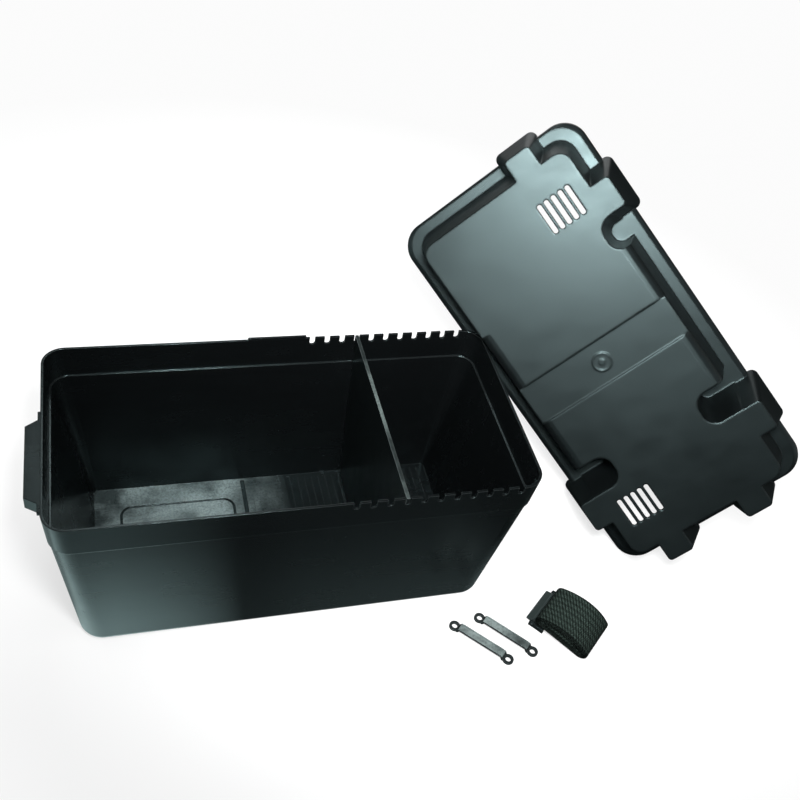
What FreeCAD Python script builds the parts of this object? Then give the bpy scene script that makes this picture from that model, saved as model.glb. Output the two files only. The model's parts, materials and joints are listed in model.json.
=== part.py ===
"""Battery box kit: open tub, vented lid, sliding divider, rolled strap with cam buckle, two strap anchors.

Millimetres. The origin is the middle of the tub's underside, X runs along the tub, Y across it
towards the back and Z up. The lid stands on one corner and leans beside the tub's back right
corner; the strap roll and the anchors lie on the floor in front of it.
"""
import FreeCAD, Part
import Sketcher
import math
import os
from collections import namedtuple

# Every driving dimension, in millimetres or degrees unless its note says otherwise.
SIZES = [
    ("wall", 2.6, "moulded wall of tub and lid"),
    ("rim_half_length", 210.0, "tub rim, half of its length"),
    ("rim_half_width", 103.5, "tub rim, half of its width"),
    ("rim_radius", 20.0, "tub rim, corner radius seen from above"),
    ("foot_half_length", 192.0, "tub underside, half of its length"),
    ("foot_half_width", 90.2, "tub underside, half of its width"),
    ("foot_radius", 22.0, "tub underside, corner radius seen from above"),
    ("foot_rounding", 6.0, "rounding between the underside and the walls"),
    ("tub_height", 182.5, "floor to rim"),
    ("collar_height", 31.4, "stepped-out band below the rim"),
    ("collar_step", 0.9, "how far the collar stands out from the wall below"),
    ("collar_wall", 2.1, "wall of the collar"),
    ("floor_top", 4.5, "inside floor above the ground"),
    ("floor_half_length", 176.0, "inside floor, half of its length"),
    ("floor_half_width", 80.5, "inside floor, half of its width"),
    ("floor_radius", 4.0, "inside floor, corner radius"),
    ("ledge_half_length", 204.2, "cavity just under the collar, half of its length"),
    ("ledge_half_width", 98.6, "cavity just under the collar, half of its width"),
    ("ledge_radius", 16.0, "cavity just under the collar, corner radius"),
    ("recess_depth", 13.4, "finger recess in the end wall, at the ground"),
    ("recess_half_width", 58.0, "finger recess, half of its width"),
    ("grip_reach", 226.0, "outer edge of the grip, from the middle of the tub"),
    ("grip_half_width", 40.0, "grip, half of its outer edge"),
    ("grip_top", 149.5, "top face of the grip and of the end rib"),
    ("grip_plate", 3.0, "thickness of the grip plate and of the end rib"),
    ("grip_lip_drop", 12.5, "height of the turned-down lip"),
    ("grip_lip_wall", 2.4, "thickness of that lip"),
    ("end_rib_reach", 215.5, "outer edge of the end rib"),
    ("end_rib_half_width", 57.0, "end rib, half of its length"),
    ("notch_count", 11.0, "divider notches on each side, a count"),
    ("notch_pitch", 14.8, "spacing of the notches"),
    ("notch_first", 37.4, "first notch, from the middle of the tub"),
    ("notch_half_width", 2.7, "notch, half of its width"),
    ("notch_depth", 8.0, "notch, depth below the rim"),
    ("divider_notch", 3.0, "notches between the first one and the divider, a count"),
    ("divider_thickness", 3.2, "divider plate"),
    ("floor_rib_count", 19.0, "ribs that hold the divider's lower edge, a count"),
    ("floor_rib_half_width", 0.8, "floor rib, half of its thickness"),
    ("floor_rib_height", 2.2, "floor rib above the floor"),
    ("lid_half_length", 212.8, "lid skirt, half of its length"),
    ("lid_half_width", 106.2, "lid skirt, half of its width"),
    ("lid_radius", 25.0, "lid skirt, corner radius"),
    ("lid_skirt", 9.0, "skirt below the lid's ledge"),
    ("ledge_slope_drop", 2.8, "how far the ledge's outer edge slopes down"),
    ("ledge_slope_width", 4.4, "width of that slope on the long sides"),
    ("ledge_slope_end_width", 1.6, "width of that slope on the ends"),
    ("crown_height", 49.0, "lid crown above its ledge"),
    ("crown_base_half_length", 199.6, "crown where it meets the ledge, half of its length"),
    ("crown_base_half_width", 90.8, "crown where it meets the ledge, half of its width"),
    ("crown_base_radius", 18.0, "crown where it meets the ledge, corner radius"),
    ("crown_top_half_length", 189.0, "crown top, half of its length"),
    ("crown_top_half_width", 83.0, "crown top, half of its width"),
    ("crown_top_radius", 13.0, "crown top, corner radius"),
    ("lug_foot_half", 23.5, "end lug, half of its width at the skirt"),
    ("lug_top_half", 13.8, "end lug, half of its width at the crown"),
    ("lug_foot_reach", 221.5, "end lug, reach at the skirt"),
    ("lug_top_reach", 210.5, "end lug, reach at the crown"),
    ("lug_offset", 44.0, "end lug, from the middle of the lid"),
    ("side_lug_foot_half", 29.5, "side lug, half of its length at the skirt"),
    ("side_lug_top_half", 16.0, "side lug, half of its length at the crown"),
    ("side_lug_foot_reach", 114.0, "side lug, reach at the skirt"),
    ("side_lug_top_reach", 101.5, "side lug, reach at the crown"),
    ("side_lug_offset", 129.0, "side lug, from the middle of the lid"),
    ("bay_near", 79.0, "bay beside a side lug, its wall towards the middle"),
    ("bay_far_low", 100.0, "bay, its wall towards the lug, at the ledge"),
    ("bay_far_high", 113.0, "bay, its wall towards the lug, at the crown"),
    ("waist_half_width", 85.0, "crown where its rounded shoulder starts, half of its width"),
    ("shoulder_radius", 11.0, "rounded shoulder between the band and the bays"),
    ("band_half_width", 21.0, "strap band across the lid, half of its width"),
    ("band_depth", 1.1, "how far the strap band is sunk"),
    ("vent_offset_x", 143.5, "vent group, along the lid from its middle"),
    ("vent_offset_y", 50.0, "vent group, across the lid from its middle"),
    ("vent_half_length", 15.8, "vent slot, half of its length"),
    ("vent_half_width", 2.4, "vent slot, half of its width"),
    ("vent_pitch", 7.7, "spacing of the vent slots"),
    ("vent_count", 5.0, "slots in one group, a count"),
    ("boss_radius", 9.5, "round boss in the middle of the band"),
    ("boss_height", 0.9, "round boss above the band"),
    ("strap_width", 48.0, "webbing width"),
    ("roll_half_length", 33.2, "strap roll, half of its length"),
    ("roll_shift", 2.8, "middle of the strap roll, to the right of the buckle's own origin"),
    ("roll_half_height", 11.0, "strap roll, half of its height"),
    ("pin_x", -29.3, "cam lever pin, along the roll from its middle"),
    ("pin_z", 4.2, "cam lever pin, above the ground"),
    ("pin_radius", 1.2, "cam lever pin"),
    ("hub_radius", 2.5, "cam lever hub"),
    ("pin_clearance", 0.05, "running clearance around the pin"),
    ("cheek", 2.5, "side plate of the buckle"),
    ("buckle_left", -32.5, "buckle frame, its end under the lever"),
    ("buckle_right", -16.0, "buckle frame, its end under the roll"),
    ("buckle_base", 1.2, "buckle frame, base plate thickness"),
    ("lever_half_width", 20.5, "cam lever, half of its width"),
    ("lever_reach", 8.0, "cam lever, from its pin to its free edge"),
    ("anchor_spacing", 60.0, "strap anchor, between its screw holes"),
    ("anchor_eye_radius", 5.4, "strap anchor, outside of an eye"),
    ("anchor_hole_radius", 2.8, "strap anchor, screw hole"),
    ("anchor_plate", 2.2, "strap anchor, plate thickness"),
    ("anchor_bar_half_width", 4.2, "strap anchor, half of the bar's width"),
    ("anchor_lift", 3.4, "gap under the anchor's bar, for the webbing"),
]

doc = FreeCAD.newDocument("BatteryBoxKit")
sheet = doc.addObject("Spreadsheet::Sheet", "Sizes")
for row, (alias, number, note) in enumerate(SIZES, start=1):
    sheet.set(f"A{row}", alias)
    sheet.set(f"B{row}", str(number))
    sheet.set(f"C{row}", note)
    sheet.setAlias(f"B{row}", alias)
doc.recompute()


class Measure:
    """A number together with the sheet formula that yields it, so that both follow the sheet."""

    def __init__(self, value, formula):
        self.value = value
        self.formula = formula

    def __add__(self, other):
        other = as_measure(other)
        return Measure(self.value + other.value, f"({self.formula} + {other.formula})")

    def __sub__(self, other):
        other = as_measure(other)
        return Measure(self.value - other.value, f"({self.formula} - {other.formula})")

    def __mul__(self, other):
        other = as_measure(other)
        return Measure(self.value * other.value, f"({self.formula} * {other.formula})")

    def __truediv__(self, other):
        other = as_measure(other)
        return Measure(self.value / other.value, f"({self.formula} / {other.formula})")

    def __neg__(self):
        return Measure(-self.value, f"(0 - {self.formula})")


def as_measure(item):
    """A plain number as a Measure; a Measure stays as it is."""
    if isinstance(item, Measure):
        return item
    number = float(item)
    return Measure(number, str(number) if number >= 0 else f"(0 - {-number})")


def size(alias):
    """The driving dimension with this name."""
    return Measure(float(getattr(sheet, alias)), f"Sizes.{alias}")


def bind(item, prop, measure):
    """Give a property its value, and tie it to the sheet when a formula stands behind it."""
    measure = as_measure(measure)
    if "Sizes." in measure.formula:
        item.setExpression(prop, measure.formula)


def new_body(name):
    """An empty PartDesign body whose Label is its name."""
    body = doc.addObject("PartDesign::Body", name)
    body.Label = name
    return body


def origin_feature(body, role):
    """One of the body's own base planes or axes."""
    return next(part for part in body.Origin.OriginFeatures if part.Role == role)


def new_sketch(body, name, plane, shift):
    """An empty sketch parallel to a base plane, moved by `shift` in the sketch's own axes."""
    sketch = body.newObject("Sketcher::SketchObject", name)
    sketch.AttachmentSupport = [(origin_feature(body, plane), "")]
    sketch.MapMode = "FlatFace"
    shift = [as_measure(part) for part in shift]
    sketch.AttachmentOffset = FreeCAD.Placement(
        FreeCAD.Vector(*(part.value for part in shift)), FreeCAD.Rotation())
    for axis, part in zip("xyz", shift):
        bind(sketch, f"AttachmentOffset.Base.{axis}", part)
    return sketch


def dimension(sketch, kind, refs, measure):
    """Add one driving dimension to a sketch, tied to the sheet."""
    measure = as_measure(measure)
    index = sketch.addConstraint(Sketcher.Constraint(kind, *refs, measure.value))
    bind(sketch, f"Constraints[{index}]", measure)


def rounded_sketch(body, name, plane, shift, half_x, half_y, radius):
    """A rounded rectangle about the sketch's own origin."""
    sketch = new_sketch(body, name, plane, shift)
    half_x, half_y, radius = as_measure(half_x), as_measure(half_y), as_measure(radius)
    right, high, round_off = half_x.value, half_y.value, radius.value
    flat_x, flat_y = right - round_off, high - round_off
    point = FreeCAD.Vector
    sides = [
        (point(-flat_x, high), point(flat_x, high)),
        (point(right, flat_y), point(right, -flat_y)),
        (point(flat_x, -high), point(-flat_x, -high)),
        (point(-right, -flat_y), point(-right, flat_y)),
    ]
    for start, end in sides:
        sketch.addGeometry(Part.LineSegment(start, end))
    quarter = math.pi / 2
    corners = [(flat_x, flat_y, 0), (flat_x, -flat_y, 3), (-flat_x, -flat_y, 2), (-flat_x, flat_y, 1)]
    for center_x, center_y, turns in corners:
        circle = Part.Circle(point(center_x, center_y), point(0, 0, 1), round_off)
        sketch.addGeometry(Part.ArcOfCircle(circle, turns * quarter, (turns + 1) * quarter))
    # Each side runs clockwise into the arc after it, and each arc runs counter-clockwise.
    for side in range(4):
        sketch.addConstraint(Sketcher.Constraint("Tangent", side, 2, 4 + side, 2))
        sketch.addConstraint(Sketcher.Constraint("Tangent", (side + 1) % 4, 1, 4 + side, 1))
    for side in (0, 2):
        sketch.addConstraint(Sketcher.Constraint("Horizontal", side))
        sketch.addConstraint(Sketcher.Constraint("Vertical", side + 1))
    for arc in (5, 6, 7):
        sketch.addConstraint(Sketcher.Constraint("Equal", 4, arc))
    dimension(sketch, "Radius", (4,), radius)
    dimension(sketch, "DistanceX", (-1, 1, 1, 1), half_x)
    dimension(sketch, "DistanceX", (3, 1, -1, 1), half_x)
    dimension(sketch, "DistanceY", (-1, 1, 0, 1), half_y)
    dimension(sketch, "DistanceY", (2, 1, -1, 1), half_y)
    return sketch


def polygon_sketch(body, name, plane, depth, corners):
    """A straight-sided outline; every corner is placed from the sketch's origin."""
    sketch = new_sketch(body, name, plane, (0, 0, depth))
    corners = [(as_measure(across), as_measure(up)) for across, up in corners]
    points = [FreeCAD.Vector(across.value, up.value) for across, up in corners]
    for start, end in zip(points, points[1:] + points[:1]):
        sketch.addGeometry(Part.LineSegment(start, end))
    for side in range(len(points)):
        sketch.addConstraint(Sketcher.Constraint("Coincident", side, 2, (side + 1) % len(points), 1))
    for side, (across, up) in enumerate(corners):
        dimension(sketch, "DistanceX", (-1, 1, side, 1), across)
        dimension(sketch, "DistanceY", (-1, 1, side, 1), up)
    return sketch


def circle_sketch(body, name, plane, shift, radius):
    """A circle about the sketch's own origin."""
    sketch = new_sketch(body, name, plane, shift)
    radius = as_measure(radius)
    sketch.addGeometry(Part.Circle(FreeCAD.Vector(), FreeCAD.Vector(0, 0, 1), radius.value))
    sketch.addConstraint(Sketcher.Constraint("Coincident", 0, 3, -1, 1))
    dimension(sketch, "Radius", (0,), radius)
    return sketch


def extrude(body, name, sketch, length, cut=False, symmetric=False, reverse=False):
    """Pad a sketch, or pocket it when `cut` is set."""
    feature = body.newObject("PartDesign::Pocket" if cut else "PartDesign::Pad", name)
    feature.Profile = sketch
    feature.SideType = "Symmetric" if symmetric else "One side"
    feature.Reversed = reverse
    feature.Length = as_measure(length).value
    bind(feature, "Length", length)
    return feature


def repeat(body, name, feature, role, spacing, count):
    """Repeat a feature along one of the body's axes."""
    pattern = body.newObject("PartDesign::LinearPattern", name)
    pattern.Originals = [feature]
    pattern.Direction = (origin_feature(body, role), [""])
    pattern.Mode = "Spacing"
    pattern.Offset = spacing.value
    pattern.Occurrences = int(count.value)
    bind(pattern, "Offset", spacing)
    bind(pattern, "Occurrences", count)
    body.Tip = pattern
    return pattern


# One level of a tapered block: a rounded rectangle about (x, y) at height z.
Level = namedtuple("Level", "x y z half_x half_y radius")


def tapered_block(body, name, low, high, cut=False):
    """Loft between two levels, added to the body or cut from it."""
    sketches = [
        rounded_sketch(body, f"{name}_{word}", "XY_Plane", (level.x, level.y, level.z),
                       level.half_x, level.half_y, level.radius)
        for word, level in (("low", low), ("high", high))
    ]
    loft = body.newObject("PartDesign::SubtractiveLoft" if cut else "PartDesign::AdditiveLoft", name)
    loft.Profile = sketches[0]
    loft.Sections = [sketches[1]]
    loft.Ruled = True
    return loft


def span(low, high):
    """Middle and half-length of the stretch between two measures."""
    return (low + high) / 2, (high - low) / 2


# ---------------------------------------------------------------- tub

def collar_foot():
    """Height where the tub's collar starts."""
    return size("tub_height") - size("collar_height")


def wall_at_collar(foot, rim):
    """Half-size of the straight tapered wall at the height where the collar starts."""
    return foot + (rim - foot) * (collar_foot() / size("tub_height"))


def tub_shell(body):
    """Tapered outer walls, stepped collar and the cavity."""
    collar_x = wall_at_collar(size("foot_half_length"), size("rim_half_length"))
    collar_y = wall_at_collar(size("foot_half_width"), size("rim_half_width"))
    rounding = size("foot_rounding")
    slope_x = (size("rim_half_length") - size("foot_half_length")) / size("tub_height")
    slope_y = (size("rim_half_width") - size("foot_half_width")) / size("tub_height")
    levels = []
    for turn in (0, 30, 60, 90):
        height = rounding * (1 - math.cos(math.radians(turn)))
        inset = rounding * (1 - math.sin(math.radians(turn)))
        levels.append(Level(0, 0, height, size("foot_half_length") + slope_x * height - inset,
                            size("foot_half_width") + slope_y * height - inset,
                            size("foot_radius") - inset))
    levels.append(Level(0, 0, collar_foot(), collar_x, collar_y, size("rim_radius")))
    for index, (low, high) in enumerate(zip(levels, levels[1:])):
        tapered_block(body, f"walls_{index}", low, high)
    step = size("collar_step")
    collar_low = Level(0, 0, collar_foot(), collar_x + step, collar_y + step, size("rim_radius"))
    rim = Level(0, 0, size("tub_height"), size("rim_half_length"), size("rim_half_width"),
                size("rim_radius"))
    tapered_block(body, "collar", collar_low, rim)
    floor = Level(0, 0, size("floor_top"), size("floor_half_length"), size("floor_half_width"),
                  size("floor_radius"))
    ledge = Level(0, 0, collar_foot(), size("ledge_half_length"), size("ledge_half_width"),
                  size("ledge_radius"))
    tapered_block(body, "cavity", floor, ledge, cut=True)
    skin = size("collar_wall")
    mouth_radius = size("rim_radius") - skin
    mouth_low = Level(0, 0, collar_foot(), collar_x + step - skin, collar_y + step - skin, mouth_radius)
    mouth_high = rim._replace(half_x=size("rim_half_length") - skin,
                              half_y=size("rim_half_width") - skin, radius=mouth_radius)
    tapered_block(body, "mouth", mouth_low, mouth_high, cut=True)


# How far the grip's slanted ends and its gussets reach beyond the grip's own outer edge.
GRIP_SHOULDER = 7.0
GUSSET_SHOULDER = 4.0


def tub_recess(body, word, side, top):
    """Finger recess in one end wall, running parallel to the cavity's slope up to `top`."""
    slope = (size("ledge_half_length") - size("floor_half_length")) / (collar_foot() - size("floor_top"))
    low = size("foot_half_length") - size("recess_depth")
    outside = size("rim_half_length")
    wedge = [(low - slope, -1), (low + slope * top, top), (outside, top), (outside, -1)]
    sketch = polygon_sketch(body, f"{word}_recess_outline", "XZ_Plane", 0,
                            [(across * side, up) for across, up in wedge])
    extrude(body, f"{word}_recess", sketch, size("recess_half_width") * 2, cut=True, symmetric=True)


def tub_grip_plate(body, word, side, root):
    """End rib along the wall, widening into the flat plate of the grip."""
    rib_half, rib_out = size("end_rib_half_width"), size("end_rib_reach")
    grip_half = size("grip_half_width")
    plate = [(root, -rib_half), (rib_out, -rib_half), (rib_out, -grip_half - GRIP_SHOULDER),
             (size("grip_reach"), -grip_half)]
    plate += [(across, -along) for across, along in reversed(plate)]
    sketch = polygon_sketch(body, f"{word}_grip_outline", "XY_Plane",
                            size("grip_top") - size("grip_plate"),
                            [(across * side, along) for across, along in plate])
    extrude(body, f"{word}_grip", sketch, size("grip_plate"))


def tub_grip_lip(body, word, side, root):
    """Turned-down lip around the grip plate, drawn as a front and a rear half."""
    rib_out, lip_out = size("end_rib_reach"), size("grip_reach")
    wall = size("grip_lip_wall")
    grip_half = size("grip_half_width")
    end_half = grip_half + GRIP_SHOULDER
    inside = lip_out - wall
    middle = as_measure(0)
    lip = [(root, -end_half), (rib_out, -end_half), (lip_out, -grip_half), (lip_out, middle),
           (inside, middle), (inside, wall / 2 - grip_half), (rib_out, wall - end_half),
           (root, wall - end_half)]
    bury = 1
    for end, half_word in ((1, "front"), (-1, "rear")):
        sketch = polygon_sketch(body, f"{word}_{half_word}_lip_outline", "XY_Plane",
                                size("grip_top") - size("grip_lip_drop"),
                                [(across * side, along * end) for across, along in lip])
        extrude(body, f"{word}_{half_word}_lip", sketch, size("grip_lip_drop") - bury)


def tub_gussets(body, word, side, root):
    """Two upright gussets under the ends of the grip."""
    thickness, depth, tip = 2.8, 20, 2
    top = size("grip_top") - 1
    under = size("grip_top") - size("grip_plate")
    reach = size("end_rib_reach") - 0.5
    gusset = [(root, top), (reach, top), (reach, under - tip), (root, under - depth)]
    for end in (-1, 1):
        near_face = -(size("grip_half_width") + GUSSET_SHOULDER) * end - thickness / 2
        sketch = polygon_sketch(body, f"{word}_gusset_outline_{end + 1}", "XZ_Plane", near_face,
                                [(across * side, up) for across, up in gusset])
        extrude(body, f"{word}_gusset_{end + 1}", sketch, thickness)


def tub_end(body, word, side):
    """Finger recess, end rib, grip with its lip and two gussets on one end wall."""
    bury = 1.8
    root = wall_at_collar(size("foot_half_length"), size("rim_half_length")) - bury
    recess_roof = 4
    tub_recess(body, word, side, size("grip_top") - size("grip_plate") - recess_roof)
    tub_grip_plate(body, word, side, root)
    tub_grip_lip(body, word, side, root)
    tub_gussets(body, word, side, root)


def tub_notches(body):
    """Round-bottomed notches in both long rims, for the divider's ears."""
    half = size("notch_half_width")
    almost_round = half * 0.9
    overshoot = 4
    sketch = rounded_sketch(body, "notch_outline", "XZ_Plane",
                            (size("notch_first"), size("tub_height"), 0),
                            half, size("notch_depth"), almost_round)
    notch = extrude(body, "notch", sketch, size("rim_half_width") * 2 + overshoot, cut=True,
                    symmetric=True)
    repeat(body, "notches", notch, "X_Axis", size("notch_pitch"), size("notch_count"))


GROOVE_DEPTH = 1.2


def floor_block(body, name, x, half_x, half_y, radius, height, base=0):
    """A pad standing `base` above the floor, or a groove below it when the height is negative."""
    height = as_measure(height)
    sketch = rounded_sketch(body, f"{name}_outline", "XY_Plane", (x, 0, size("floor_top") + base),
                            half_x, half_y, radius)
    if height.value < 0:
        return extrude(body, name, sketch, -height, cut=True)
    return extrude(body, name, sketch, height)


def battery_pad(body):
    """Rounded groove around the place where a battery stands."""
    x, half_x, half_y, radius = -94.5, 57.5, 57, 13
    width = 2.6
    floor_block(body, "pad_groove", x, half_x, half_y, radius, -GROOVE_DEPTH)
    floor_block(body, "battery_pad", x, half_x - width, half_y - width, radius - width, GROOVE_DEPTH,
                base=-GROOVE_DEPTH)


def cross_grooves(body):
    """Two grooves across the floor and a low pad between them."""
    half_width, radius, end_gap = 2.2, 1.8, 2
    for word, x in (("left", -26), ("right", 22.6)):
        floor_block(body, f"cross_groove_{word}", x, half_width, size("floor_half_width") - end_gap,
                    radius, -GROOVE_DEPTH)
    pad_x, pad_half_x, pad_half_y, pad_radius, pad_height = -2, 15, 58, 3, 0.8
    floor_block(body, "small_pad", pad_x, pad_half_x, pad_half_y, pad_radius, pad_height)


def divider_ribs(body):
    """Ribs across the floor, two for every notch, that hold the divider's lower edge."""
    end_gap, radius = 5, 0.7
    first = size("notch_first") - size("notch_pitch") / 4
    rib = floor_block(body, "floor_rib", first, size("floor_rib_half_width"),
                      size("floor_half_width") - end_gap, radius, size("floor_rib_height"))
    repeat(body, "floor_ribs", rib, "X_Axis", size("notch_pitch") / 2, size("floor_rib_count"))


def back_tab(body):
    """Low tab standing up from the back rim."""
    x, half_length, half_thickness, corner = 3, 28, 1.0, 0.9
    inset, bury, height = 1.05, 2, 4.4
    sketch = rounded_sketch(body, "back_tab_outline", "XY_Plane",
                            (x, size("rim_half_width") - inset, size("tub_height") - bury),
                            half_length, half_thickness, corner)
    extrude(body, "back_tab", sketch, height)


def make_tub():
    """Open tub with grips, notched rims, floor pads and ribs."""
    body = new_body("battery_box")
    tub_shell(body)
    for word, side in (("left", -1), ("right", 1)):
        tub_end(body, word, side)
    tub_notches(body)
    battery_pad(body)
    cross_grooves(body)
    divider_ribs(body)
    back_tab(body)


# ---------------------------------------------------------------- lid

# Corners of the lid that carry an end lug, a side lug and a bay: (X side, Y side, bay depth low, high).
LUG_CORNERS = [(-1, 1, 73.5, 68.0), (1, 1, 56.0, 49.0), (1, -1, 56.0, 49.0)]
LUG_ROOT = 60.0

# Corner radii seen from above, at the foot and at the top.
LUG_RADII = (7, 4)
BAY_RADII = (9, 14)

# Where the middle of the lid's ledge is when it leans, and how the lid is turned there.
LID_X, LID_Y = 328.0, 57.7
LID_LEAN = FreeCAD.Rotation(-49.81, 32.95, 57.75)


def lid_levels(gap):
    """Heights shared by the lid's blocks: below the skirt, at the ledge and at the crown's top."""
    return -(size("lid_skirt") + gap), as_measure(-gap), size("crown_height") - gap


def lug_level(x_span, y_span, height, radius):
    """A level from its X and Y stretches."""
    (x, half_x), (y, half_y) = span(*x_span), span(*y_span)
    return Level(x, y, height, half_x, half_y, radius)


def mirrored(stretch, side):
    """A stretch of one axis, swapped to the other side of the origin when `side` is -1."""
    low, high = as_measure(stretch[0]), as_measure(stretch[1])
    return (low, high) if side > 0 else (-high, -low)


def lid_lugs(body, index, x_side, y_side, gap):
    """End lug and side lug of one corner, from the crown down over the skirt."""
    bottom, _, top = lid_levels(gap)
    offset = size("lug_offset")
    foot, head = size("lug_foot_half") - gap, size("lug_top_half") - gap
    low = lug_level(mirrored((crown_root("length"), size("lug_foot_reach") - gap), x_side),
                    mirrored((offset - foot, offset + foot), y_side), bottom, LUG_RADII[0])
    high = lug_level(mirrored((crown_root("length"), size("lug_top_reach") - gap), x_side),
                     mirrored((offset - head, offset + head), y_side), top, LUG_RADII[1])
    tapered_block(body, f"end_lug_{index}", low, high)
    offset = size("side_lug_offset")
    foot, head = size("side_lug_foot_half") - gap, size("side_lug_top_half") - gap
    low = lug_level(mirrored((offset - foot, offset + foot), x_side),
                    mirrored((crown_root("width"), size("side_lug_foot_reach") - gap), y_side),
                    bottom, LUG_RADII[0])
    high = lug_level(mirrored((offset - head, offset + head), x_side),
                     mirrored((crown_root("width"), size("side_lug_top_reach") - gap), y_side),
                     top, LUG_RADII[1])
    tapered_block(body, f"side_lug_{index}", low, high)


def crown_root(way):
    """A line well inside the crown, where the lugs start."""
    return size(f"crown_top_half_{way}") - LUG_ROOT / 2


def lid_bay(body, index, x_side, y_side, low_depth, high_depth, gap):
    """Bay between a side lug and the lid's middle, open towards the ledge."""
    top = size("crown_height") + 1
    mouth = size("side_lug_foot_reach") + 6
    low = lug_level(mirrored((size("bay_near") + 1 - gap, size("bay_far_low") + gap), x_side),
                    mirrored((as_measure(low_depth) - gap, mouth), y_side), -gap, BAY_RADII[0])
    high = lug_level(mirrored((size("bay_near") - gap, size("bay_far_high") + gap), x_side),
                     mirrored((as_measure(high_depth) - gap, mouth), y_side), top, BAY_RADII[1])
    tapered_block(body, f"bay_{index}", low, high, cut=True)


def lid_shoulders(body, gap):
    """Rounded shoulders beside the strap band, in place of the crown's sharp upper edge."""
    top = size("crown_height")
    radius = size("shoulder_radius")
    center_y, center_z = size("waist_half_width") - radius, top - radius
    arc = [(center_y + (radius - gap) * math.cos(math.radians(turn)),
            center_z + (radius - gap) * math.sin(math.radians(turn))) for turn in (0, 22.5, 45, 67.5, 90)]
    outside = size("lid_half_width") + 4
    profile = arc + [(arc[-1][0], top + 1), (outside, top + 1), (outside, center_z)]
    far = size("bay_near") + 5
    length = far - size("band_half_width") + gap * 2
    for index, (x_side, y_side) in enumerate([(-1, 1), (1, 1), (1, -1), (-1, -1)]):
        start = size("band_half_width") - gap if x_side > 0 else -(far + gap)
        sketch = polygon_sketch(body, f"shoulder_outline_{index}", "YZ_Plane", start,
                                [(across * y_side, up) for across, up in profile])
        extrude(body, f"shoulder_{index}", sketch, length, cut=True, reverse=True)


def lid_form(name, gap):
    """The lid's envelope, with every face pulled in by `gap`."""
    body = new_body(name)
    gap = as_measure(gap)
    bottom, ledge, top = lid_levels(gap)
    skirt_low = Level(0, 0, bottom, size("lid_half_length") - gap, size("lid_half_width") - gap,
                      size("lid_radius") - gap)
    draft = 0.8
    skirt_high = skirt_low._replace(z=ledge - size("ledge_slope_drop"), half_x=skirt_low.half_x - draft,
                                    half_y=skirt_low.half_y - draft)
    tapered_block(body, "skirt", skirt_low, skirt_high)
    ledge_high = skirt_high._replace(z=ledge, half_x=skirt_high.half_x - size("ledge_slope_end_width"),
                                     half_y=skirt_high.half_y - size("ledge_slope_width"))
    tapered_block(body, "ledge", skirt_high, ledge_high)
    crown_low = Level(0, 0, ledge, size("crown_base_half_length") - gap,
                      size("crown_base_half_width") - gap, size("crown_base_radius") - gap)
    crown_high = Level(0, 0, top, size("crown_top_half_length") - gap,
                       size("crown_top_half_width") - gap, size("crown_top_radius") - gap)
    tapered_block(body, "crown", crown_low, crown_high)
    for index, (x_side, y_side, _, _) in enumerate(LUG_CORNERS):
        lid_lugs(body, index, x_side, y_side, gap)
    for index, (x_side, y_side, low_depth, high_depth) in enumerate(LUG_CORNERS):
        lid_bay(body, index, x_side, y_side, low_depth, high_depth, gap)
    lid_shoulders(body, gap)
    band = rounded_sketch(body, "band_outline", "XY_Plane", (0, 0, top - size("band_depth")),
                          size("band_half_width") + gap, size("lid_half_width"), 1)
    extrude(body, "band", band, size("band_depth") + 2, cut=True, reverse=True)
    return body


def lid_vents(body):
    """Two groups of slots through the crown, on opposite corners."""
    for word, x_side in (("front", -1), ("back", 1)):
        last = size("vent_offset_y") * -x_side - size("vent_pitch") * (size("vent_count") - 1) / 2
        sketch = rounded_sketch(body, f"{word}_vent_outline", "XY_Plane",
                                (size("vent_offset_x") * x_side, last, size("crown_height") + 1),
                                size("vent_half_length"), size("vent_half_width"),
                                size("vent_half_width") * 0.96)
        slot = extrude(body, f"{word}_vent", sketch, size("crown_height"), cut=True)
        repeat(body, f"{word}_vents", slot, "Y_Axis", size("vent_pitch"), size("vent_count"))


def lid_boss(body):
    """Round raised ring in the middle of the strap band, with a dish and a small button in it."""
    seat = size("crown_height") - size("band_depth")
    ring_width = 1.4
    ring = circle_sketch(body, "boss_outline", "XY_Plane", (0, 0, seat), size("boss_radius"))
    extrude(body, "boss", ring, size("boss_height"))
    dish = circle_sketch(body, "dish_outline", "XY_Plane", (0, 0, seat + size("boss_height")),
                         size("boss_radius") - ring_width)
    extrude(body, "dish", dish, size("boss_height") / 2, cut=True)
    button = circle_sketch(body, "button_outline", "XY_Plane", (0, 0, seat), size("boss_radius") / 3)
    extrude(body, "button", button, size("boss_height"))


def make_lid():
    """Outer form less the same form pulled in by the wall; slots and boss belong to the outer one."""
    outer = lid_form("lid_outer", 0)
    lid_vents(outer)
    lid_boss(outer)
    inner = lid_form("lid_inner", size("wall"))
    lid = doc.addObject("Part::Cut", "lid")
    lid.Label = "lid"
    lid.Base = outer
    lid.Tool = inner


def lean_lid():
    """Tip the lid beside the tub and let its lowest corner stand on the floor."""
    lid = doc.getObject("lid")
    lid.Placement = FreeCAD.Placement(FreeCAD.Vector(LID_X, LID_Y, 0), LID_LEAN)
    lowest = min(point.z for point in lid.Shape.tessellate(0.2)[0])
    lid.Placement.Base.z = -lowest


# ---------------------------------------------------------------- divider

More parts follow.
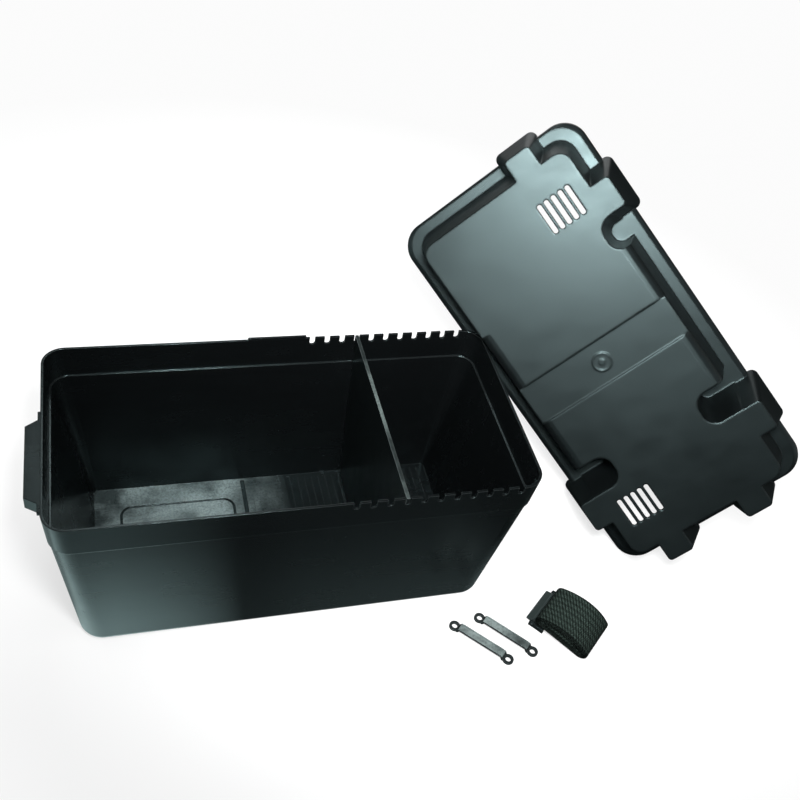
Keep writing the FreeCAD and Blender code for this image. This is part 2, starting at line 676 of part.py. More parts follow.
def make_divider():
    """Plate with two ears that hang in a pair of notches, tapered like the cavity."""
    body = new_body("divider")
    gap, foot_gap, rim_gap, chamfer, neck = 0.6, 0.15, 0.3, 5, 1.1
    middle = size("notch_first") + size("notch_pitch") * size("divider_notch")
    ear_reach = size("rim_half_width") - gap
    ear_foot = size("tub_height") - size("notch_depth") + gap
    mouth = size("rim_half_width") - size("collar_wall") - gap
    shoulder = collar_foot() + gap
    slope = (size("ledge_half_width") - size("floor_half_width")) / (collar_foot() - size("floor_top"))
    foot = size("floor_top") + foot_gap
    outline = [(ear_reach, size("tub_height") - rim_gap),
               (ear_reach, ear_foot),
               (mouth - slope * size("notch_depth"), ear_foot),
               (mouth - size("collar_step") - neck, shoulder),
               (size("ledge_half_width") - gap * 1.5, shoulder),
               (size("floor_half_width") + slope * chamfer - gap, foot + chamfer),
               (size("floor_half_width") - gap - chamfer, foot)]
    outline += [(-across, up) for across, up in reversed(outline)]
    sketch = polygon_sketch(body, "divider_outline", "YZ_Plane",
                            middle - size("divider_thickness") / 2, outline)
    extrude(body, "divider_plate", sketch, size("divider_thickness"))


# ---------------------------------------------------------------- strap roll and its buckle

# The roll lies on the floor; its own X runs along the flattened coil, its Y along the webbing's width.
STRAP_PLACE = FreeCAD.Placement(FreeCAD.Vector(268.7, -142.6, 0), FreeCAD.Rotation(-50, 0, 0))
ROLL_TILT = 8.5


def make_webbing():
    """The wound webbing as one soft solid, propped on the buckle at its left end."""
    body = new_body("strap_webbing")
    half_height = size("roll_half_height")
    flat_end = 0.3
    rounding = half_height - flat_end
    sketch = rounded_sketch(body, "roll_outline", "XZ_Plane", (0, 0, 0), size("roll_half_length"),
                            half_height, rounding)
    extrude(body, "roll", sketch, size("strap_width"), symmetric=True)
    tilt = math.radians(ROLL_TILT)
    flat = (size("roll_half_length") - rounding).value
    rise = half_height.value + flat * math.sin(tilt)
    shift = size("roll_shift").value
    tilted = FreeCAD.Placement(FreeCAD.Vector(shift, 0, rise), FreeCAD.Rotation(0, ROLL_TILT, 0))
    body.Placement = STRAP_PLACE * tilted


def pin_circle(body, name, radius):
    """A circle about the cam lever's pin."""
    return circle_sketch(body, name, "XZ_Plane", (size("pin_x"), size("pin_z"), 0), radius)


def pin_hole(body, width):
    """Bore for the pin right through a piece of this width."""
    sketch = pin_circle(body, "pin_hole_outline", size("pin_radius") + size("pin_clearance"))
    overshoot = 2
    extrude(body, "pin_hole", sketch, width + overshoot, cut=True, symmetric=True)


def make_buckle_frame():
    """Base plate, two cheeks with pin holes and the bar that the webbing is sewn around."""
    body = new_body("buckle_frame")
    half = size("strap_width") / 2
    left, right = size("buckle_left"), size("buckle_right")
    slot, bar_inset, bar_height, bar_radius = 5.2, 2, 2.9, 1.2
    middle, half_length = span(left, right - slot)
    plate = rounded_sketch(body, "base_outline", "XY_Plane", (middle, 0, 0), half_length, half, 1)
    extrude(body, "base", plate, size("buckle_base"))
    top = size("pin_z") + size("hub_radius") + 0.3
    shoulder = top - 2
    cheek = [(left, 0), (right, 0), (right, shoulder), (right - size("lever_reach"), shoulder),
             (size("pin_x") + 2, top), (size("pin_x") - 2, top), (left, shoulder)]
    for word, outer in (("near", half), ("far", size("cheek") - half)):
        sketch = polygon_sketch(body, f"{word}_cheek_outline", "XZ_Plane", outer - size("cheek"), cheek)
        extrude(body, f"{word}_cheek", sketch, size("cheek"))
    bury = 0.1
    bar = circle_sketch(body, "bar_outline", "XZ_Plane", (right - bar_inset, bar_height, 0), bar_radius)
    extrude(body, "bar", bar, size("strap_width") - bury, symmetric=True)
    pin_hole(body, size("strap_width"))
    body.Placement = STRAP_PLACE


def make_buckle_lever():
    """Cam lever: a hub around the pin and a flat thumb edge."""
    body = new_body("buckle_lever")
    width = size("lever_half_width") * 2
    extrude(body, "hub", pin_circle(body, "hub_outline", size("hub_radius")), width, symmetric=True)
    x, z = size("pin_x"), size("pin_z")
    tip = x - size("lever_reach")
    neck = size("hub_radius") - 0.3
    tip_low, tip_high, tip_bevel = 1.4, 0.6, 1
    thumb = [(tip, z - tip_low), (x, z - neck), (x, z + neck), (tip + tip_bevel, z + tip_high), (tip, z)]
    sketch = polygon_sketch(body, "thumb_outline", "XZ_Plane", 0, thumb)
    extrude(body, "thumb", sketch, width, symmetric=True)
    pin_hole(body, width)
    body.Placement = STRAP_PLACE


def make_buckle_pin():
    """Plain pin through both cheeks and the lever, its ends just below the cheeks' faces."""
    body = new_body("buckle_pin")
    sunk = 0.2
    sketch = pin_circle(body, "pin_outline", size("pin_radius"))
    extrude(body, "pin", sketch, size("strap_width") - sunk * 2, symmetric=True)
    body.Placement = STRAP_PLACE


# ---------------------------------------------------------------- strap anchors

# Each anchor's name, its middle on the floor and the way its bar points, in degrees about Z.
ANCHOR_PLACES = [("strap_anchor_left", 175.3, -146.4, -46), ("strap_anchor_right", 202.5, -141.8, -46.8)]

def anchor_ridges(body, crest, half_length):
    """Two low ridges along the edges of the raised bar."""
    half_width, corner, height, edge_inset, bury = 0.6, 0.5, 0.6, 0.7, 0.1
    for side in (-1, 1):
        across = (size("anchor_bar_half_width") - edge_inset) * side
        sketch = rounded_sketch(body, f"ridge_outline_{side + 1}", "XY_Plane",
                                (0, across, crest - bury), half_length, half_width, corner)
        extrude(body, f"ridge_{side + 1}", sketch, height)


def anchor_eyes(body, eye_x):
    """A round eye with a screw hole at each end."""
    plate = size("anchor_plate")
    for end in (-1, 1):
        eye = circle_sketch(body, f"eye_outline_{end + 1}", "XY_Plane", (eye_x * end, 0, 0),
                            size("anchor_eye_radius"))
        extrude(body, f"eye_{end + 1}", eye, plate)
        hole = circle_sketch(body, f"hole_outline_{end + 1}", "XY_Plane", (eye_x * end, 0, plate),
                             size("anchor_hole_radius"))
        extrude(body, f"hole_{end + 1}", hole, plate, cut=True)


def make_anchor(name, x, y, heading):
    """Flat loop for the strap: a raised bar between two eyes for screws."""
    body = new_body(name)
    eye_x = size("anchor_spacing") / 2
    plate, lift = size("anchor_plate"), size("anchor_lift")
    step, overlap, ridge_gap = 1.7, 3.5, 2
    inner = eye_x - size("anchor_eye_radius")
    half = [(inner - step, lift), (inner, 0), (eye_x - overlap, 0),
            (eye_x - overlap, plate), (inner + step, plate), (inner, plate + lift)]
    outline = half + [(-across, up) for across, up in reversed(half)]
    sketch = polygon_sketch(body, "bar_profile", "XZ_Plane", 0, outline)
    extrude(body, "bar", sketch, size("anchor_bar_half_width") * 2, symmetric=True)
    anchor_eyes(body, eye_x)
    anchor_ridges(body, plate + lift, inner - ridge_gap)
    body.Placement = FreeCAD.Placement(FreeCAD.Vector(x, y, 0), FreeCAD.Rotation(heading, 0, 0))


# ---------------------------------------------------------------- build and write

SUB_PARTS = ["battery_box", "lid", "divider", "strap_webbing", "buckle_frame", "buckle_lever",
             "buckle_pin", "strap_anchor_left", "strap_anchor_right"]


def check_objects():
    """Stop if any object failed, or a sub-part isn't valid solid geometry."""
    failed = [item.Name for item in doc.Objects if {"Invalid", "Error"} & set(item.State)]
    if failed:
        raise RuntimeError(f"failed objects: {failed}")
    for label in SUB_PARTS:
        shape = doc.getObject(label).Shape
        if shape.isNull() or not shape.isValid() or len(shape.Solids) != 1:
            raise RuntimeError(f"{label} isn't one valid solid")


make_tub()
make_lid()
make_divider()
make_webbing()
make_buckle_frame()
make_buckle_lever()
make_buckle_pin()
for name, x, y, heading in ANCHOR_PLACES:
    make_anchor(name, x, y, heading)
doc.recompute()
lean_lid()
doc.recompute()
check_objects()
os.makedirs("parts", exist_ok=True)
for label in SUB_PARTS:
    doc.getObject(label).Shape.exportStep(f"parts/{label}.step")
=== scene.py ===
"""Looks for the battery box kit: moulded plastics, wound webbing, floor, light and camera."""
import json
import math
from collections import namedtuple

import bpy
from mathutils import Matrix, Vector


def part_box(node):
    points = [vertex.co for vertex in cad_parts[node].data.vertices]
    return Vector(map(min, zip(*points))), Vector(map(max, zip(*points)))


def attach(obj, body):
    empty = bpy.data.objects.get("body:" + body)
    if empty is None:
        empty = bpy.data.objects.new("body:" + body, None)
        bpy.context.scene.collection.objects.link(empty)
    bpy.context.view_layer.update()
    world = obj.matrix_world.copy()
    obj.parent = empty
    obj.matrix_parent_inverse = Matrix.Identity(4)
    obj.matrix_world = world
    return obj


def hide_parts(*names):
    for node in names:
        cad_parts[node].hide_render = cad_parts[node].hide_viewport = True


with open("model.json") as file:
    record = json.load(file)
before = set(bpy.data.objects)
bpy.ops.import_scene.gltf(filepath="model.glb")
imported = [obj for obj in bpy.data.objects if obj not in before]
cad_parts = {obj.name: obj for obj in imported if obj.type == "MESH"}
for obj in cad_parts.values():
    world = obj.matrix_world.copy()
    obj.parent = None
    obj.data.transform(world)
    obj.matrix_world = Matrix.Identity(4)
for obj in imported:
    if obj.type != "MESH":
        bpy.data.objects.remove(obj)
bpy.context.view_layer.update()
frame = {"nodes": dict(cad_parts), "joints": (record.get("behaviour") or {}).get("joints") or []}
MM = 0.001


# ---------------------------------------------------------------- node helpers

class Graph:
    """A material's node tree, with short calls to add and join nodes."""

    def __init__(self, name):
        self.material = bpy.data.materials.new(name)
        self.material.use_nodes = True
        self.tree = self.material.node_tree
        self.tree.nodes.clear()

    def add(self, kind, settings=None, **inputs):
        """Add a node; an input takes a number, a colour or another node's output."""
        node = self.tree.nodes.new(f"ShaderNode{kind}")
        for key, value in (settings or {}).items():
            setattr(node, key, value)
        for key, value in inputs.items():
            self.join(node, key.replace("_", " "), value)
        return node

    def join(self, node, socket, value):
        """Set a node's input, or link an output to it."""
        target = node.inputs[int(socket)] if socket.isdigit() else node.inputs[socket]
        if isinstance(value, bpy.types.NodeSocket):
            self.tree.links.new(value, target)
        else:
            target.default_value = value

    def math(self, operation, first, second=0.0, clamp=False):
        """One arithmetic step."""
        node = self.add("Math", {"operation": operation, "use_clamp": clamp})
        self.join(node, "0", first)
        self.join(node, "1", second)
        return node.outputs[0]

    def spread(self, value, low, high, to_low=0.0, to_high=1.0):
        """Stretch a value's range onto another one, clamped."""
        node = self.add("MapRange", Value=value, From_Min=low, From_Max=high,
                        To_Min=to_low, To_Max=to_high)
        return node.outputs[0]

    def noise(self, where, scale, detail=2.0, roughness=0.5):
        """Soft noise, about 0 to 1."""
        node = self.add("TexNoise", Vector=where, Scale=scale, Detail=detail, Roughness=roughness)
        return node.outputs[0]

    def product(self, first, *others):
        """Several values multiplied together."""
        for other in others:
            first = self.math("MULTIPLY", first, other)
        return first

    def blend(self, share, first, second):
        """Mix two colours."""
        node = self.add("Mix", {"data_type": "RGBA"})
        self.join(node, "0", share)
        self.join(node, "6", first)
        self.join(node, "7", second)
        return node.outputs[2]

    def finish(self, shader):
        """Send a shader to the material's output."""
        self.add("OutputMaterial", Surface=shader)
        return self.material


# ---------------------------------------------------------------- moulded plastics

# Plastic painted pale on up-facing faces between two heights: wear, and a painted sheen where light falls;
# it fades out over `fade` metres of X up to `right`. The defaults reach past the whole object.
WearAndSheen = namedtuple("WearAndSheen", "low high colour right fade", defaults=(1.0, 0.5))

# Scales of the plastic's detail, as noise cells per metre.
CLOUDS = 9.0
SCUFFS = 55.0
WAVES = 26.0
PEBBLES = 1600.0
WEAR_AND_SHEEN_PATCHES = 15.0
WEAR_AND_SHEEN_SPECKS = 420.0
FLOW_STREAKS = (9.0, 70.0, 45.0)


def wear_and_sheen_share(graph, where, face, wear_and_sheen):
    """Share of pale plastic at a point, for wear and painted sheen, broken up into patches and specks."""
    blur = 0.5 * MM
    spot = graph.add("SeparateXYZ", Vector=where)
    upward = graph.spread(graph.add("SeparateXYZ", Vector=face).outputs[2], 0.90, 0.99)
    above = graph.spread(spot.outputs[2], wear_and_sheen.low - blur, wear_and_sheen.low)
    below = graph.spread(spot.outputs[2], wear_and_sheen.high + blur, wear_and_sheen.high)
    side = graph.spread(spot.outputs[0], wear_and_sheen.right, wear_and_sheen.right - wear_and_sheen.fade)
    patches = graph.spread(graph.noise(where, WEAR_AND_SHEEN_PATCHES, 5.0, 0.6), 0.40, 0.60, 0.10, 1.0)
    specks = graph.spread(graph.noise(where, WEAR_AND_SHEEN_SPECKS, 3.0, 0.7), 0.35, 0.60, 0.55, 1.0)
    return graph.product(above, below, upward, side, patches, specks)


def worn_and_highlit_edges(graph, rounded, face):
    """How pale an edge is painted, for wear and as a painted highlight: high where the rounded normal leaves
    the face's own.
    """
    straight = graph.add("VectorMath", {"operation": "DOT_PRODUCT"})
    graph.join(straight, "0", rounded)
    graph.join(straight, "1", face)
    return graph.spread(straight.outputs["Value"], 0.99, 0.80)


def flow_streaks(graph, where):
    """Long faint streaks left by the plastic's flow in the mould."""
    stretched = graph.add("VectorMath", {"operation": "MULTIPLY"})
    graph.join(stretched, "0", where)
    graph.join(stretched, "1", FLOW_STREAKS)
    return graph.noise(stretched.outputs[0], 1.0, 4.0, 0.6)


def plastic_relief(graph, where, grain, rounded):
    """Fine pebbled grain over slow waves, as a bumped normal."""
    pebbles = graph.math("MULTIPLY", graph.noise(where, PEBBLES, 2.0, 0.6), 0.35)
    waves = graph.math("MULTIPLY", graph.noise(where, WAVES, 2.0, 0.4), 1.5)
    relief = graph.math("ADD", pebbles, waves)
    bump = graph.add("Bump", Strength=grain, Distance=0.25 * MM, Height=relief, Normal=rounded)
    return bump.outputs[0]


def plastic_roughness(graph, where, clouds, scuffs, edge_wear_and_highlight, roughness):
    """Roughness that drifts with the clouds and streaks, rises in scuffs and drops on the polished edges."""
    matt = graph.spread(clouds, 0.3, 0.7, roughness - 0.03, roughness + 0.03)
    matt = graph.math("ADD", matt, graph.spread(flow_streaks(graph, where), 0.3, 0.7, -0.035, 0.035))
    matt = graph.math("ADD", matt, graph.math("MULTIPLY", scuffs, 0.03))
    return graph.math("SUBTRACT", matt, graph.math("MULTIPLY", edge_wear_and_highlight, 0.08), clamp=True)


def moulded_plastic(name, colour, roughness, grain, edge_radius, edge_colour, wear_and_sheen=None):
    """Injection-moulded plastic: fine grain, faint flow streaks, scuffs and polished edges, paler from wear
    and a painted highlight.
    """
    graph = Graph(name)
    where = graph.add("TexCoord").outputs["Object"]
    rounded = graph.add("Bevel", {"samples": 8}, Radius=edge_radius).outputs[0]
    face = graph.add("NewGeometry").outputs["Normal"]
    edge_wear_and_highlight = worn_and_highlit_edges(graph, rounded, face)
    clouds = graph.noise(where, CLOUDS, 3.0, 0.55)
    scuffs = graph.spread(graph.noise(where, SCUFFS, 4.0, 0.6), 0.52, 0.86)
    pale = (0.84 * edge_colour, edge_colour, 1.02 * edge_colour, 1)
    shade = [0.78 * part for part in colour]
    base = graph.blend(clouds, (*shade, 1), (*colour, 1))
    base = graph.blend(graph.math("MULTIPLY", scuffs, 0.014), base, pale)
    # Paler edges: wear, and a painted highlight along rims and ledges
    base = graph.blend(graph.math("MULTIPLY", edge_wear_and_highlight, 0.85), base, pale)
    # Pale up-facing tops: wear, and a painted sheen
    if wear_and_sheen:
        base = graph.blend(wear_and_sheen_share(graph, where, face, wear_and_sheen), base, wear_and_sheen.colour)
    shader = graph.add("BsdfPrincipled", Base_Color=base,
                       Roughness=plastic_roughness(graph, where, clouds, scuffs, edge_wear_and_highlight, roughness),
                       Normal=plastic_relief(graph, where, grain, rounded),
                       IOR=1.49, Specular_IOR_Level=0.45, Specular_Tint=(0.70, 0.96, 0.98, 1))
    return graph.finish(shader.outputs[0])


def tub_plastic():
    """Glossy black, its floor painted paler towards the left: dust, and a painted sheen."""
    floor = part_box("battery_box")[0].z + 4.5 * MM
    # Pale floor: dust, with a painted sheen that fades out towards the right
    wear_and_sheen = WearAndSheen(low=floor - 0.2 * MM, high=floor + 1 * MM, colour=(0.150, 0.190, 0.190, 1),
                    right=20 * MM, fade=65 * MM)
    return moulded_plastic("tub_plastic", (0.0019, 0.0023, 0.0025), roughness=0.25, grain=0.16,
                           edge_radius=0.8 * MM, edge_colour=0.022, wear_and_sheen=wear_and_sheen)


def lid_plastic():
    """Satin black with soft, wide edges."""
    return moulded_plastic("lid_plastic", (0.0022, 0.0028, 0.0030), roughness=0.43, grain=0.42,
                           edge_radius=3.0 * MM, edge_colour=0.006)


def divider_plastic():
    """Black plate, with a painted highlight along its upper edge."""
    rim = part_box("divider")[1].z
    # Painted highlight: the divider's top face painted pale
    wear_and_sheen = WearAndSheen(low=rim - 2 * MM, high=rim, colour=(0.062, 0.078, 0.075, 1))
    return moulded_plastic("divider_plastic", (0.0019, 0.0023, 0.0025), roughness=0.34, grain=0.2,
                           edge_radius=0.6 * MM, edge_colour=0.10, wear_and_sheen=wear_and_sheen)


def anchor_plastic():
    """Dark grey, the raised bar pale on top from wear."""
    bar_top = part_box("strap_anchor_left")[1].z
    wear_and_sheen = WearAndSheen(low=bar_top - 1.5 * MM, high=bar_top, colour=(0.180, 0.220, 0.215, 1))
    return moulded_plastic("anchor_plastic", (0.014, 0.017, 0.017), roughness=0.40, grain=0.3,
                           edge_radius=0.5 * MM, edge_colour=0.05, wear_and_sheen=wear_and_sheen)


def buckle_plastic():
    """Near-black frame of the buckle."""
    return moulded_plastic("buckle_plastic", (0.006, 0.008, 0.008), roughness=0.36, grain=0.2,
                           edge_radius=0.5 * MM, edge_colour=0.03)


def lever_plastic():
    """The buckle's lever, a little paler than its frame."""
    return moulded_plastic("lever_plastic", (0.020, 0.027, 0.026), roughness=0.36, grain=0.2,
                           edge_radius=0.5 * MM, edge_colour=0.05)


# ---------------------------------------------------------------- webbing and steel

RIB_PITCH = 6.0 * MM
PICK_PITCH = 3.4 * MM
END_PITCH = 2.6 * MM


def woven_yarns(graph, uv, along, across):
    """Twilled yarns (-1 to 1 stretched to 0 to 1) and the lengthwise ribs they lie on."""
    wobble = graph.math("MULTIPLY", graph.noise(uv, 160.0), 0.0016)
    end = 2 * math.pi / END_PITCH
    warp = graph.math("SINE", graph.math("MULTIPLY", graph.math("ADD", across, wobble), end))
    lengthwise = graph.math("MULTIPLY", along, 2 * math.pi / PICK_PITCH)
    slant = graph.math("ADD", lengthwise, graph.math("MULTIPLY", across, end / 2))
    weft = graph.math("SINE", slant)
    yarn = graph.spread(graph.math("MULTIPLY", warp, weft), -0.7, 0.7)
    rib = graph.math("SINE", graph.math("MULTIPLY", across, 2 * math.pi / RIB_PITCH))
    return yarn, graph.spread(rib, -1.0, 0.4, 0.55, 1.0)


def selvedges_and_painted_shade(graph, across):
    """Darker selvedges, and painted shade where the webbing turns down at the roll's ends."""
    selvedge = graph.spread(graph.math("ABSOLUTE", across), 21.5 * MM, 23.0 * MM, 1.0, 0.30)
    normal = graph.add("NewGeometry").outputs["Normal"]
    # Painted shade: webbing facing away from straight up is painted darker
    upward = graph.add("SeparateXYZ", Vector=normal).outputs[2]
    return graph.product(selvedge, graph.spread(upward, 0.45, 0.98, 0.12, 1.0))


def webbing_fabric(name):
    """Polypropylene webbing: lengthwise ribs of twilled yarns with loose fibres and some wear."""
    graph = Graph(name)
    uv = graph.add("UVMap", {"uv_map": "weave"}).outputs[0]
    split = graph.add("SeparateXYZ", Vector=uv)
    along, across = split.outputs[0], split.outputs[1]
    yarn, ridge = woven_yarns(graph, uv, along, across)
    fuzz = graph.noise(uv, 1500.0, 4.0, 0.7)
    wear = graph.noise(uv, 60.0, 3.0)
    thread = graph.product(yarn, ridge, graph.spread(fuzz, 0.35, 0.65, 0.15, 1.3))
    thread = graph.math("POWER", thread, 1.5)
    thread = graph.product(thread, selvedges_and_painted_shade(graph, across))
    base = graph.blend(thread, (0.0008, 0.0013, 0.0011, 1), (0.066, 0.102, 0.086, 1))
    base = graph.blend(graph.spread(wear, 0.45, 0.75, 0.0, 0.08), base, (0.020, 0.032, 0.027, 1))
    height = graph.math("ADD", graph.math("ADD", yarn, graph.math("MULTIPLY", fuzz, 0.25)), ridge)
    bump = graph.add("Bump", Strength=1.0, Distance=0.45 * MM, Height=height)
    shader = graph.add("BsdfPrincipled", Base_Color=base, Roughness=0.66, Normal=bump.outputs[0],
                       Specular_IOR_Level=0.12, Specular_Tint=(0.75, 0.9, 0.85, 1))
    return graph.finish(shader.outputs[0])


def drawn_steel(name):
    """Pin steel with fine drawing lines."""
    graph = Graph(name)
    where = graph.add("TexCoord").outputs["Object"]
    lines = graph.noise(where, 900.0, 4.0, 0.7)
    base = graph.blend(lines, (0.32, 0.33, 0.34, 1), (0.58, 0.59, 0.60, 1))
    bump = graph.add("Bump", Strength=0.2, Distance=0.05 * MM, Height=lines)
    shader = graph.add("BsdfPrincipled", Base_Color=base, Metallic=1.0, Normal=bump.outputs[0],
                       Roughness=graph.spread(lines, 0.3, 0.7, 0.25, 0.42))
    return graph.finish(shader.outputs[0])


def paint(node, material):
    """Give a CAD node its material."""
    mesh = frame["nodes"][node].data
    mesh.materials.clear()
    mesh.materials.append(material)


def paint_nodes():
    """Materials of the CAD nodes that stay on show."""
    paint("battery_box", tub_plastic())
    paint("lid", lid_plastic())
    paint("divider", divider_plastic())
    anchor = anchor_plastic()
    for node in ("strap_anchor_left", "strap_anchor_right"):
        paint(node, anchor)
    paint("buckle_frame", buckle_plastic())
    paint("buckle_lever", lever_plastic())
    paint("buckle_pin", drawn_steel("pin_steel"))


# ---------------------------------------------------------------- wound webbing

LAYER = 1.25 * MM
LAYER_GAP = 0.25 * MM
ROLL_TILT = math.radians(8.5)
END_RADIUS = 7.5 * MM
LEAN = 0.2
TIGHTEST = 0.9 * MM

# Points along a layer's flat underside, around each end and over its domed top.
FLAT_STEPS, END_STEPS, DOME_STEPS = 8, 10, 14

# The ribbon's cross-section, as shares of its half-width and of half its thickness.
RIBBON = [(-1.0, 0.0), (-0.985, 0.75), (-0.93, 1.0), (-0.5, 0.92), (0.0, 0.9), (0.5, 0.92), (0.93, 1.0),
          (0.985, 0.75), (1.0, 0.0), (0.985, -0.75), (0.93, -1.0), (0.0, -0.9), (-0.93, -1.0),
          (-0.985, -0.75)]


def roll_frame():
    """The roll's own axes, the middle of its underside and its half-sizes, from the CAD node and the pin."""
    hinge = next(joint for joint in frame["joints"] if joint["name"] == "buckle_open")
    width_way = Vector(hinge["axis"]).normalized()
    flat_way = width_way.cross(Vector((0, 0, 1)))
    turn = Matrix.Rotation(ROLL_TILT, 3, width_way)
    ways = (turn @ flat_way, width_way, turn @ Vector((0, 0, 1)))
    points = [vertex.co for vertex in frame["nodes"]["strap_webbing"].data.vertices]
    spans = []
    for way in ways:
        reach = [point.dot(way) for point in points]
        spans.append((min(reach), max(reach)))
    middles = [(low + high) / 2 for low, high in spans]
    underside = ways[0] * middles[0] + ways[1] * middles[1] + ways[2] * spans[2][0]
    return ways, underside, [(high - low) / 2 for low, high in spans]


def roll_turn(depth, half_length, height):
    """One layer, this deep below the outside: (along, up, outward) points from the bottom left round."""
    flat = half_length - END_RADIUS
    dome = (flat ** 2 + (height - 2 * END_RADIUS) * height) / (2 * (height - 2 * END_RADIUS))
    low = height - dome
    end = max(END_RADIUS - depth, TIGHTEST)
    reach = math.sqrt(max(0.0, (dome - depth - end) ** 2 - (depth + end - low) ** 2))
    tilt = math.atan2(depth + end - low, reach)
    down = math.pi / 2
    points = []
    for step in range(FLAT_STEPS):
        points.append((reach * (2 * step / FLAT_STEPS - 1), depth, (0.0, -1.0)))
    for step in range(END_STEPS):
        angle = -down + (tilt + down) * step / END_STEPS
        outward = (math.cos(angle), math.sin(angle))
        points.append((reach + end * outward[0], depth + end + end * outward[1], outward))
    for step in range(DOME_STEPS):
        angle = tilt + (math.pi - 2 * tilt) * step / DOME_STEPS
        outward = (math.cos(angle), math.sin(angle))
        points.append(((dome - depth) * outward[0], low + (dome - depth) * outward[1], outward))
    for step in range(END_STEPS):
        angle = math.pi - tilt + (tilt + down) * step / END_STEPS
        outward = (math.cos(angle), math.sin(angle))
        points.append((-reach + end * outward[0], depth + end + end * outward[1], outward))
    return points


def roll_path(half_length, height):
    """The wound webbing's middle line, from the outside to the core."""
    pitch = LAYER + LAYER_GAP
    deepest = height / 2 - 2.2 * TIGHTEST
    count = FLAT_STEPS + 2 * END_STEPS + DOME_STEPS
    path = []
    turn = 0
    while (turn + 1) * pitch < deepest:
        for step in range(count):
            depth = LAYER / 2 + pitch * (turn + step / count)
            path.append(roll_turn(depth, half_length, height)[step])
        turn += 1
    return path


def selvedge_drift(index):
    """How far a ring of the ribbon lies off the roll's middle; no strap winds up quite straight."""
    return 0.35 * MM * math.sin(index * 0.11) + 0.15 * MM * math.sin(index * 0.37)


def ribbon_points(path, ways, underside, halves):
    """Points of the ribbon, ring by ring along the path, with their place on the flat webbing."""
    half_width = halves[1] - 0.6 * MM
    verts, coords = [], []
    travelled = 0.0
    previous = path[0]
    for index, (along, up, outward) in enumerate(path):
        along += LEAN * (up - halves[2])
        travelled += math.hypot(along - previous[0], up - previous[1])
        previous = (along, up)
        for across, off in RIBBON:
            width = across * half_width + selvedge_drift(index)
            lift = off * LAYER / 2
            point = underside + ways[0] * (along + outward[0] * lift) + ways[1] * width
            verts.append(point + ways[2] * (up + outward[1] * lift))
            coords.append((travelled, width))
    return verts, coords


def ribbon_faces(rings):
    """Quads between neighbouring rings, and one face to close each end."""
    count = len(RIBBON)
    faces = []
    for ring in range(rings - 1):
        for edge in range(count):
            after = (edge + 1) % count
            faces.append((ring * count + edge, ring * count + after,
                          (ring + 1) * count + after, (ring + 1) * count + edge))
    faces.append(tuple(range(count - 1, -1, -1)))
    faces.append(tuple(range((rings - 1) * count, rings * count)))
    return faces


def make_roll():
    """The wound strap as one continuous ribbon with soft selvedges."""
    ways, underside, halves = roll_frame()
    path = roll_path(halves[0] - LEAN * halves[2], 2 * halves[2])
    verts, coords = ribbon_points(path, ways, underside, halves)
    mesh = bpy.data.meshes.new("strap_roll")
    mesh.from_pydata(verts, [], ribbon_faces(len(path)))
    mesh.materials.append(webbing_fabric("webbing"))
    layer = mesh.uv_layers.new(name="weave")
    for loop in mesh.loops:
        layer.data[loop.index].uv = coords[loop.vertex_index]
    for polygon in mesh.polygons:
        polygon.use_smooth = True
    mesh.update()
    roll = bpy.data.objects.new("strap_roll", mesh)
    bpy.context.scene.collection.objects.link(roll)
    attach(roll, "strap")
    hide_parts("strap_webbing")


# ---------------------------------------------------------------- floor, light and camera

FLOOR_HALF = 8.0
FLOOR_DROP = 0.3 * MM


def painted_lit_pool(graph, where):
    """Painted reflection: what reflections see of the floor, a painted pool of light before the tub's left
    half, dim elsewhere.
    """
    spot = graph.add("SeparateXYZ", Vector=where)
    x, y = spot.outputs[0], spot.outputs[1]
    left = graph.spread(x, -0.16, -0.045, 1.5, 0.08)
    right = graph.spread(x, -0.03, 0.02, 0.0, 0.03)
    ahead = graph.spread(y, -0.18, -0.10, 0.3, 1.0)
    behind = graph.spread(y, -0.09, -0.06, 1.0, 0.25)
    beside = graph.spread(x, 0.20, 0.26, 1.0, 0.35)
    pool = graph.product(graph.math("ADD", left, right), ahead, behind, beside)
    red = graph.math("MULTIPLY", pool, 0.76)
    return graph.add("CombineColor", Red=red, Green=pool, Blue=pool).outputs[0]


def floor_material():
    """Pale paper that takes shadows near the object and turns plain white further out."""
    graph = Graph("pale_floor")
    where = graph.add("TexCoord").outputs["Object"]
    paper = graph.blend(graph.noise(where, 3.0, 3.0), (0.86, 0.87, 0.87, 1), (0.90, 0.90, 0.90, 1))
    rays = graph.add("LightPath")
    # Glossy rays see the painted reflection pool instead of the paper
    colour = graph.blend(rays.outputs["Is Glossy Ray"], paper, painted_lit_pool(graph, where))
    near = graph.add("BsdfDiffuse", Color=colour)
    far = graph.add("Emission", Color=(1, 1, 1, 1), Strength=0.97)
    distance = graph.add("VectorMath", {"operation": "LENGTH"})
    graph.join(distance, "0", where)
    whiteness = graph.spread(distance.outputs["Value"], 0.30, 0.9, 0.5, 1.0)
    shader = graph.add("MixShader", Fac=graph.math("MULTIPLY", whiteness, rays.outputs["Is Camera Ray"]))
    graph.join(shader, "1", near.outputs[0])
    graph.join(shader, "2", far.outputs[0])
    return graph.finish(shader.outputs[0])


def make_floor():
    """A wide pale floor; reflections see it dimmed, with a painted pool of light before the tub."""
    half = FLOOR_HALF
    mesh = bpy.data.meshes.new("floor")
    corners = [(-half, -half, 0), (half, -half, 0), (half, half, 0), (-half, half, 0)]
    mesh.from_pydata(corners, [], [(0, 1, 2, 3)])
    mesh.materials.append(floor_material())
    floor = bpy.data.objects.new("floor", mesh)
    floor.location.z = -FLOOR_DROP
    bpy.context.scene.collection.objects.link(floor)


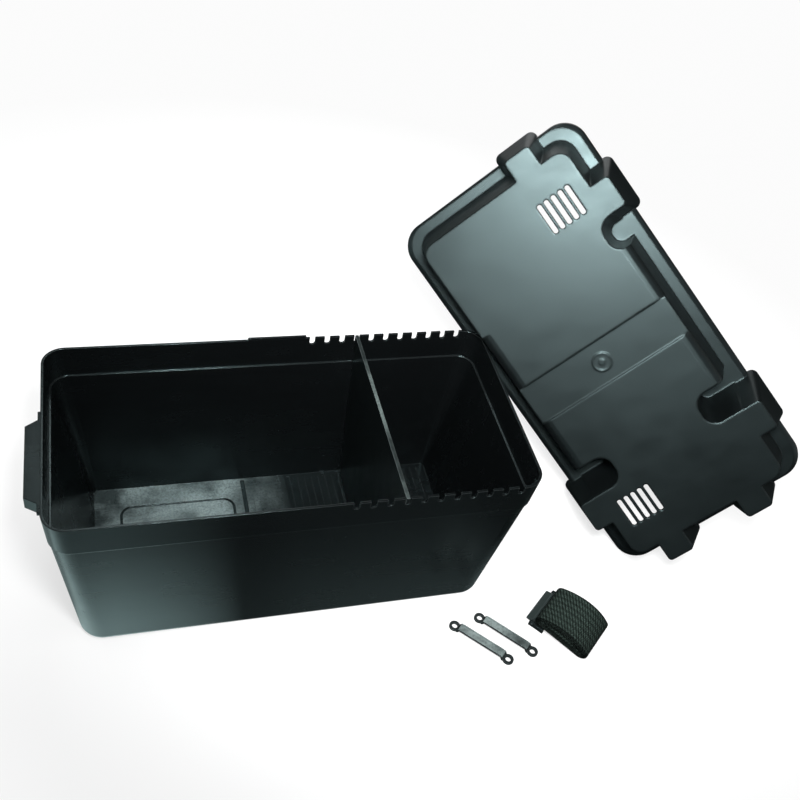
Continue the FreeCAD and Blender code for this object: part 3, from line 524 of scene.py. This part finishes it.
def make_world():
    """Even light all round; the camera sees it white, reflections see it dim."""
    world = bpy.data.worlds.new("studio")
    bpy.context.scene.world = world
    world.use_nodes = True
    tree = world.node_tree
    back = tree.nodes["Background"]
    rays = tree.nodes.new("ShaderNodeLightPath")
    level = tree.nodes.new("ShaderNodeMapRange")
    level.inputs["To Min"].default_value = 0.95
    level.inputs["To Max"].default_value = 0.02
    tree.links.new(rays.outputs["Is Glossy Ray"], level.inputs["Value"])
    tree.links.new(level.outputs[0], back.inputs["Strength"])
    back.inputs["Color"].default_value = (1, 1, 1, 1)


def soft_light(name, target, way, distance, width, height, power, spread=math.pi):
    """A rectangular soft light that faces the target from the given way."""
    data = bpy.data.lights.new(name, "AREA")
    data.shape = "RECTANGLE"
    data.size = width
    data.size_y = height
    data.energy = power
    data.spread = spread
    light = bpy.data.objects.new(name, data)
    bpy.context.scene.collection.objects.link(light)
    way = Vector(way).normalized()
    light.location = Vector(target) + way * distance
    light.rotation_euler = way.to_track_quat("Z", "Y").to_euler()
    light.visible_camera = False


FILL_POWER = 2.5
FILL_TARGET = (0.05, 0.0, 0.1)
FILL_WAYS = {"fill_back": (0.35, 0.90, 0.22), "fill_left": (-0.95, 0.10, 0.22),
             "fill_right": (0.90, -0.30, 0.25)}


def make_lights():
    """A lamp near the camera, a weak one high behind the tub, and low fills for the dark sides."""
    low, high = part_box("lid")
    lid_top = Vector((low.x + 0.07, high.y - 0.02, high.z - 0.08))
    soft_light("lamp", lid_top, (-0.29, -0.74, 0.61), distance=0.85, width=0.18, height=0.18,
               power=5.7, spread=math.radians(85))
    soft_light("overhead", (-0.12, 0.0, 0), (0.03, 0.585, 0.81), distance=1.5, width=0.35, height=0.2,
               power=2.5)
    for name, way in FILL_WAYS.items():
        soft_light(name, FILL_TARGET, way, distance=1.6, width=1.1, height=0.7, power=FILL_POWER)


def make_camera():
    """Camera from the front left, looking down, slightly rolled."""
    azimuth, elevation, roll = math.radians(23.1), math.radians(44.12), math.radians(12.82)
    ahead = Vector((math.sin(azimuth) * math.cos(elevation), math.cos(azimuth) * math.cos(elevation),
                    -math.sin(elevation)))
    level = Vector((math.cos(azimuth), -math.sin(azimuth), 0))
    above = level.cross(ahead)
    right = level * math.cos(roll) + above * math.sin(roll)
    upward = right.cross(ahead)
    data = bpy.data.cameras.new("camera")
    data.lens = 43.23
    data.clip_start = 0.01
    camera = bpy.data.objects.new("camera", data)
    bpy.context.scene.collection.objects.link(camera)
    turn = Matrix((right, upward, -ahead)).transposed().to_4x4()
    camera.matrix_world = Matrix.Translation((-0.14715, -0.57457, 0.80028)) @ turn
    bpy.context.scene.camera = camera


def soften_tone():
    """Plain display transform, so that the dark plastics keep their depth."""
    bpy.context.scene.view_settings.view_transform = "Standard"


paint_nodes()
make_roll()
make_floor()
make_world()
make_lights()
make_camera()
soften_tone()
